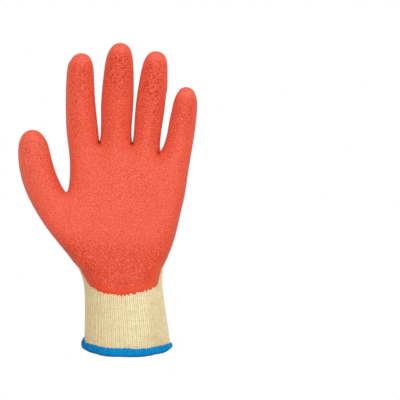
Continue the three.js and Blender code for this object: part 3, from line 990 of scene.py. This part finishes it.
def edge_teeth(points):
    """How much farther the latex has run down some stitches than others, in mm."""
    made = np.empty(len(points))
    for i, (x, y, z) in enumerate(points.tolist()):
        uneven = noise.noise((x / TOOTH_WANDER, y / TOOTH_WANDER, z / TOOTH_WANDER))
        made[i] = EDGE_TEETH * (TOOTH_SHARE + uneven) * math.cos(2 * math.pi * (x / WALE_WIDE + uneven))
    return made


def latex_coat():
    """The latex film, thinned to nothing at its edge, where the knit's stitches stand out of it."""
    field = latex_depth(fine.points, fine.normals)
    fours = coarse_groups(fine)
    fours = fours[(field[fours] > FILM_START[0]).any(axis=(1, 2))]
    outside = fours.reshape(-1, 4)
    inside = fours[:, :, 0]
    crease = crinkle_height(fine.points)
    looks = latex_looks(fine.points, fine.normals, field)
    film = smoothstep(field + edge_teeth(fine.points), *FILM_START)
    sunk = (1 - film) * EDGE_DEPTH
    wrinkles = crease * (CRINKLE_LEAST + looks.wrinkled) * CRINKLE_DEPTH * film
    outer = layer(fine, sunk + wrinkles)
    inner = layer(fine, np.maximum(sunk + FILM_EDGE, LATEX_INSIDE))
    n = len(fine.points)
    faces = [*outside.tolist(), *(inside[:, ::-1] + n).tolist()]
    middles = {}
    for k in range(4):
        ends = zip(inside[:, k].tolist(), inside[:, (k + 1) % 4].tolist())
        middles.update(zip(ends, fours[:, k, 1].tolist()))
    for a, b in open_edges(inside):
        faces.append([b, middles[a, b], a, a + n, b + n])
    used = np.unique(np.concatenate([outside.ravel(), inside.ravel() + n]))
    number = np.full(2 * n, -1)
    number[used] = np.arange(len(used))
    faces = [number[face].tolist() for face in faces]
    points = np.vstack([outer, inner])[used]
    piece = mesh_object("latex_coat", points, faces, latex, ["latex_coating"])
    set_values(piece, "crease", np.tile(crease, 2)[used])
    for name, values in looks._asdict().items():
        set_values(piece, name, np.tile(values, 2)[used])


# The overlocked edge: how far its thread stands out from the knit's face and past the knit's end
Corner = namedtuple("Corner", "out past")
HEM_PATH = [
    Corner(-0.1, -5.9),
    Corner(0.9, -5.3),
    Corner(1.6, -3.9),
    Corner(1.9, -2.2),
    Corner(1.75, -0.6),
    Corner(1.1, 0.9),
    Corner(-0.2, 1.6),
    Corner(-1.8, 1.3),
    Corner(-2.8, 0.0),
    Corner(-3.1, -2.0),
    Corner(-2.8, -4.2),
    Corner(-2.0, -5.6),
]

# The slot in the hem's core that the end of the cuff stands in
HEM_SLOT = [
    Corner(-1.6, -5.7),
    Corner(-1.6, 0.2),
    Corner(0.25, 0.2),
    Corner(0.25, -5.7),
]

# The thread's loops and the core under them
THREAD_PITCH = 0.95
THREAD_SIDES = 6
THREAD_WIDE = 0.56
THREAD_DEEP = 0.42
THREAD_SLANT = 2.2  # mm along the edge from one end of a loop to the other
THREAD_BOTTOM = 0.05  # mm over the support
CORE_BOTTOM = 0.1
CORE_STATIONS = 2 * AROUND // 3  # sections of the core round the cuff
LOOP_END = 0.9  # from a loop's middle to its end, as a share, where its ends begin
LOOP_TIP = 0.99  # and where it thins out
TIP_THICK = 0.35  # as a share of the thread's

# How uneven the loops are, in mm: along the edge, up the cuff at their ends, and outwards
UNEVEN_ALONG = 0.12
UNEVEN_UP = 0.45
UNEVEN_OUT = 0.1

# How light the thread is, with a part by chance, and where it is painted darker as painted shade
LOOP_TONE = 0.2
LOOP_TONE_SPREAD = 0.6
CORE_TONE = 0.2
# Painted shade towards the thumb's side and on the thread past the cuff's end
HEM_DARK = Ramp([-20, -8, 5], [0.6, 0.45, 0.0])
PAST_DARK = Ramp([-0.6, 0.9], [0.0, 0.9])  # mm past the cuff's end

# The hem at places across it: shares of the path's reach and swell, and its slide in mm
HemPlace = namedtuple("HemPlace", "x reach swell slide")
HEM_PLACES = [
    HemPlace(-20.0, 2.1, 2.0, 0.8),
    HemPlace(-18.8, 1.6, 1.5, 1.6),
    HemPlace(-17.2, 0.72, 1.0, 1.9),
    HemPlace(-13.5, 0.86, 1.0, 2.2),
    HemPlace(-6.6, 0.86, 1.0, 0.7),
    HemPlace(10, 0.87, 1.0, -0.1),
    HemPlace(38, 0.74, 1.0, 0.2),
    HemPlace(44, 0.75, 1.0, 1.5),
    HemPlace(47, 0.68, 1.0, 1.5),
    HemPlace(50, 0.46, 0.9, 0.4),
    HemPlace(52, 0.5, 0.8, 0.0),
]


def ring_frames(at):
    """The knit's face, its outward direction and the way past its end, at places along the cuff's end."""
    rim = numbers[-1]
    face = layer(fine, KNIT_FACE)[rim]
    out = fine.normals[rim]
    along = np.roll(face, -1, axis=0) - np.roll(face, 1, axis=0)
    past = np.cross(along, out)
    past /= np.linalg.norm(past, axis=1)[:, None]
    past *= -np.sign(past[:, 1])[:, None]
    step = np.linalg.norm(np.roll(face, -1, axis=0) - face, axis=1)
    place = np.concatenate([[0], np.cumsum(step)])
    around = place[-1]
    made = []
    for values in (face, out, past):
        closed = np.vstack([values, values[:1]])
        made.append(np.stack([np.interp(at % around, place, closed[:, i]) for i in range(3)], axis=-1))
    return (*made, around)


def hem_shape(x):
    """How far the thread reaches up the cuff and stands out, as shares, and slides off its end, in mm."""
    places = np.array(HEM_PLACES).T
    return [np.interp(x, places[0], values) for values in places[1:]]


def hem():
    """The overlock: a core of thread over the knit's raw edge, and the loops that wrap it."""
    around = ring_frames(np.zeros(1))[3]
    loops = int(around / THREAD_PITCH)
    stations = len(HEM_PATH)
    share = np.linspace(-0.5, 0.5, stations)
    start = np.arange(loops) * around / loops
    uneven = chance.normal(0, UNEVEN_ALONG, (loops, 1))
    at = start[:, None] + share * THREAD_SLANT + uneven
    face, out, past, _ = ring_frames(at)
    path_out = np.array([c.out for c in HEM_PATH])
    path_past = np.array([c.past for c in HEM_PATH])
    ends = np.abs(share) * 2 > LOOP_END
    reach, swell, slide = hem_shape(face[..., 0])
    path_past = np.where(path_past < 0, path_past * reach, path_past) + slide
    path_past = path_past + np.where(ends, chance.normal(0, UNEVEN_UP, (loops, 1)), 0)
    path_out = np.where(path_out > 0, path_out * swell, path_out)
    path_out = path_out + chance.normal(0, UNEVEN_OUT, (loops, 1))
    centre = face + out * path_out[..., None] + past * path_past[..., None]
    ahead = np.gradient(centre, axis=1)
    ahead /= np.linalg.norm(ahead, axis=2)[..., None]
    side = np.cross(out, past)
    side -= ahead * (side * ahead).sum(axis=2)[..., None]
    side /= np.linalg.norm(side, axis=2)[..., None]
    up = np.cross(ahead, side)
    thick = np.where(np.abs(share) * 2 > LOOP_TIP, TIP_THICK, 1.0)
    rings = []
    for k in range(THREAD_SIDES):
        angle = 2 * math.pi * k / THREAD_SIDES
        wide = (thick * THREAD_WIDE * math.cos(angle))[None, :, None]
        deep = (thick * THREAD_DEEP * math.sin(angle))[None, :, None]
        rings.append(centre + side * wide + up * deep)
    points = np.stack(rings, axis=2).reshape(-1, 3)
    points[:, 2] = np.maximum(points[:, 2], THREAD_BOTTOM)
    faces = []
    for loop in range(loops):
        base = loop * stations * THREAD_SIDES
        for j in range(stations - 1):
            a = base + j * THREAD_SIDES
            b = a + THREAD_SIDES
            for k in range(THREAD_SIDES):
                after = (k + 1) % THREAD_SIDES
                faces.append((a + k, a + after, b + after, b + k))
        end = base + (stations - 1) * THREAD_SIDES
        faces.append(tuple(range(base + THREAD_SIDES - 1, base - 1, -1)))
        faces.append(tuple(range(end, end + THREAD_SIDES)))
    piece = mesh_object("overlock_loops", points, faces, thread)
    tone = LOOP_TONE + LOOP_TONE_SPREAD * chance.random(loops)[:, None]
    tone = tone - np.interp(face[..., 0], *HEM_DARK) - np.interp([c.past for c in HEM_PATH], *PAST_DARK)
    set_values(piece, "shade", np.repeat(tone.ravel(), THREAD_SIDES))
    hem_core()


def hem_core():
    """The ring of looped thread that fills the edge under the wraps."""
    around = ring_frames(np.zeros(1))[3]
    face, out, past, _ = ring_frames(np.arange(CORE_STATIONS) * around / CORE_STATIONS)
    section = HEM_PATH + HEM_SLOT
    points = []
    reach, swell, slide = (values[:, None] for values in hem_shape(face[:, 0]))
    for c in section:
        aside = out * c.out * (swell if c.out > 0 else 1)
        points.append(face + aside + past * (c.past * (reach if c.past < 0 else 1) + slide))
    m = len(section)
    points = np.stack(points, axis=1).reshape(-1, 3)
    points[:, 2] = np.maximum(points[:, 2], CORE_BOTTOM)
    faces = []
    for i in range(CORE_STATIONS):
        j = (i + 1) % CORE_STATIONS
        for k in range(m):
            after = (k + 1) % m
            faces.append((i * m + k, i * m + after, j * m + after, j * m + k))
    piece = mesh_object("overlock_core", points, faces, thread, ["overlock_hem"])
    set_values(piece, "shade", np.full(len(points), CORE_TONE))


# The studio, in metres and watts
FLOOR_WIDE = 6
FLOOR_DROP = 0.0002
FLOOR_STRENGTH = 1.0
WORLD_STRENGTH = 0.45
Lamp = namedtuple("Lamp", "name place aim size power glare")
LAMPS = [
    Lamp("key", (0.15, 0.55, 1.3), (0, 0, 0), 1.0, 15.7, 1.0),
    Lamp("fill", (0, 0.1, 1.5), (0, 0, 0), 1.2, 3, 1.0),
    Lamp("mouth_fill", (0.1, -1.0, 0.3), (0, -0.1, 0.02), 0.6, 2, 0.0),
]


def white_to_camera(tree, strength, socket):
    """Lights the glove by some strength, and looks as white as the photograph's cut-out background."""
    seen = add_node(tree, "ShaderNodeLightPath").outputs["Is Camera Ray"]
    mixed = add_node(tree, "ShaderNodeMapRange", {"Value": seen, "To Min": strength, "To Max": 1.0})
    tree.links.new(mixed.outputs[0], socket)


def floor():
    """A pale table under the glove, which shows no shadow round it."""
    bpy.ops.mesh.primitive_plane_add(size=FLOOR_WIDE, location=(0, 0, -FLOOR_DROP))
    plane = bpy.context.object
    plane.name = "floor"
    glow = {"Base Color": (0, 0, 0, 1), "Specular IOR Level": 0.0, "Emission Color": (1, 1, 1, 1)}
    material, tree, shader = new_material("light_table", glow)
    white_to_camera(tree, FLOOR_STRENGTH, shader.inputs["Emission Strength"])
    plane.data.materials.append(material)


def camera():
    """Straight above the middle of the photograph, as wide as it."""
    data = bpy.data.cameras.new("camera")
    data.sensor_width = SENSOR
    data.lens = SENSOR * (CAMERA_HEIGHT - PHOTO_HEIGHT) / PHOTO_WIDE
    seen = bpy.data.objects.new("camera", data)
    x, y = PHOTO_CENTRE
    seen.location = ((x + SHIFT[0]) * MM, (y + SHIFT[1]) * MM, CAMERA_HEIGHT * MM)
    bpy.context.scene.collection.objects.link(seen)
    bpy.context.scene.camera = seen


def studio():
    """Even white light from all round, soft square lights above, and one that shines into the cuff."""
    world = bpy.data.worlds.new("studio")
    bpy.context.scene.world = world
    world.use_nodes = True
    shade = world.node_tree.nodes["Background"]
    shade.inputs["Color"].default_value = (1, 1, 1, 1)
    white_to_camera(world.node_tree, WORLD_STRENGTH, shade.inputs["Strength"])
    for lamp in LAMPS:
        data = bpy.data.lights.new(lamp.name, "AREA")
        data.size = lamp.size
        data.energy = lamp.power
        data.specular_factor = lamp.glare
        made = bpy.data.objects.new(lamp.name, data)
        made.location = lamp.place
        made.rotation_mode = "QUATERNION"
        made.rotation_quaternion = (Vector(lamp.aim) - Vector(lamp.place)).to_track_quat("-Z", "Y")
        bpy.context.scene.collection.objects.link(made)
    bpy.context.scene.view_settings.view_transform = "Standard"


camera()
floor()
studio()
liner()
stitches()
latex_coat()
hem()
